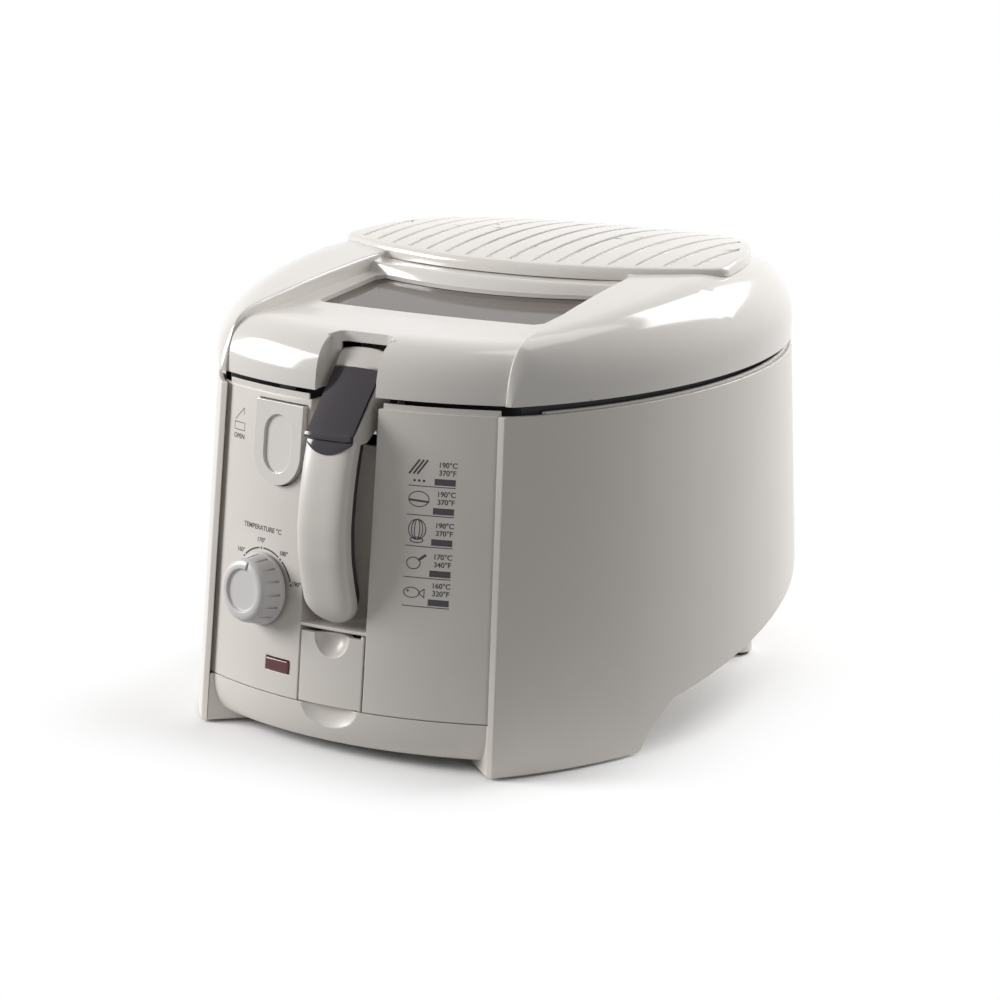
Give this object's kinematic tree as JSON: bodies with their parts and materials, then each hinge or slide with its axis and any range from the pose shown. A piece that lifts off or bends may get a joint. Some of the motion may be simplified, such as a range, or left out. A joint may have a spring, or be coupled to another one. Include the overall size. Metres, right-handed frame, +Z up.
{
  "type": "deep fryer",
  "caption": "Household deep fryer with an oval case, hinged lid with a viewing window and filter cover, and a front handle that lifts a slanted turning basket.",
  "frame": {"origin": "on the floor under the middle of the overall box", "axes": "+X to the fryer's left side seen from behind, so to the right seen from the front; +Y from the control front to the hinge at the rear; +Z up"},
  "size_m": [0.305, 0.4038, 0.2463],
  "materials": {
    "white_plastic": "satin",
    "black_plastic": "fine texture",
    "aubergine_plastic": "polished",
    "grey_plastic": "satin",
    "smoked_glass": "polished",
    "red_lens": "polished",
    "bowl_aluminium": "satin",
    "steel": "brushed",
    "basket_wire": "bright",
    "motor_paint": "satin",
    "rubber": "matte",
    "filter_felt": "felt",
    "carbon_felt": "felt"
  },
  "bodies": {
    "case": {"body_shell": "white_plastic", "bottom_plate": "white_plastic", "rubber_feet": "rubber", "base_panel": "white_plastic", "front_panel": "white_plastic", "bowl_frame": "black_plastic", "fryer_bowl": "bowl_aluminium", "heating_element": "steel", "thermal_cutout": "steel", "shaft_bush": "black_plastic", "gear_motor": "motor_paint", "motor_bracket": "steel", "handle_bracket": "black_plastic", "hinge_bracket": "white_plastic", "hinge_pin": "steel", "latch_bracket": "black_plastic", "latch_pin": "steel", "thermostat": "black_plastic", "indicator_lens": "red_lens", "indicator_lamp": "red_lens", "drain_spout": "bowl_aluminium", "drain_tube": "rubber", "drain_cap": "grey_plastic", "cord_gland": "black_plastic", "base_screws": "steel"},
    "lid": {"lid_shell": "white_plastic", "lid_liner": "black_plastic", "lid_seal": "rubber", "lid_catch": "black_plastic", "viewing_window": "smoked_glass", "window_gasket": "rubber", "filter_tray": "black_plastic", "grease_filter": "filter_felt", "carbon_filter": "carbon_felt"},
    "cover": {"filter_cover": "white_plastic"},
    "handle": {"handle_grip": "white_plastic", "handle_back": "white_plastic", "handle_pin": "steel"},
    "slider": {"handle_slider": "aubergine_plastic"},
    "carrier": {"basket_carrier": "basket_wire"},
    "basket": {"basket": "basket_wire", "basket_hub": "basket_wire"},
    "drive": {"drive_shaft": "steel"},
    "button": {"open_button": "white_plastic"},
    "latch": {"latch_lever": "black_plastic"},
    "knob": {"thermostat_knob": "grey_plastic", "thermostat_spindle": "steel"},
    "door": {"drain_door": "white_plastic"}
  },
  "joints": [
    {"name": "lid_hinge", "type": "hinge", "parent": "case", "child": "lid", "pos_m": [0, 0.19642, 0.19], "axis": [-1, 0, 0], "range_deg": [0, 80]},
    {"name": "filter_cover_lift", "type": "slide", "parent": "lid", "child": "cover", "axis": [0, 0, 1], "range_m": [0, 0.04]},
    {"name": "handle_swing", "type": "hinge", "parent": "case", "child": "handle", "pos_m": [0, -0.14358, 0.195], "axis": [-1, 0, 0], "range_deg": [0, 50]},
    {"name": "slider_release", "type": "slide", "parent": "handle", "child": "slider", "axis": [0, -0.6843, -0.7292], "range_m": [0, 0.005], "stiffness_N_per_m": 250},
    {"name": "basket_lift", "type": "slide", "parent": "case", "child": "carrier", "axis": [0, -0.225, 0.9744], "range_m": [0, 0.02046]},
    {"name": "basket_spin", "type": "hinge", "parent": "carrier", "child": "basket", "pos_m": [0, 0.01642, 0.082], "axis": [0, -0.225, 0.9744], "continuous": true},
    {"name": "drive_spin", "type": "hinge", "parent": "case", "child": "drive", "pos_m": [0, 0.01642, 0.082], "axis": [0, -0.225, 0.9744], "continuous": true},
    {"name": "button_press", "type": "slide", "parent": "case", "child": "button", "axis": [0.1802, 0.9768, -0.1155], "range_m": [0, 0.003], "stiffness_N_per_m": 300},
    {"name": "latch_pivot", "type": "hinge", "parent": "case", "child": "latch", "pos_m": [-0.041, -0.15608, 0.13], "axis": [-1, 0, 0], "range_deg": [0, 6]},
    {"name": "knob_turn", "type": "hinge", "parent": "case", "child": "knob", "pos_m": [-0.0492, -0.17996, 0.082], "axis": [0.2163, 0.9696, -0.1147], "range_deg": [-120, 80]},
    {"name": "drain_door_hinge", "type": "hinge", "parent": "case", "child": "door", "pos_m": [0.0184, -0.18731, 0.0466], "axis": [0, 0.1175, 0.9931], "range_deg": [0, 100]}
  ],
  "couplings": [
    {"joint": "basket_lift", "follows": "handle_swing", "m_per_rad": 0.023336},
    {"joint": "drive_spin", "follows": "basket_spin", "ratio": 1},
    {"joint": "latch_pivot", "follows": "button_press", "rad_per_m": 32.579}
  ]
}
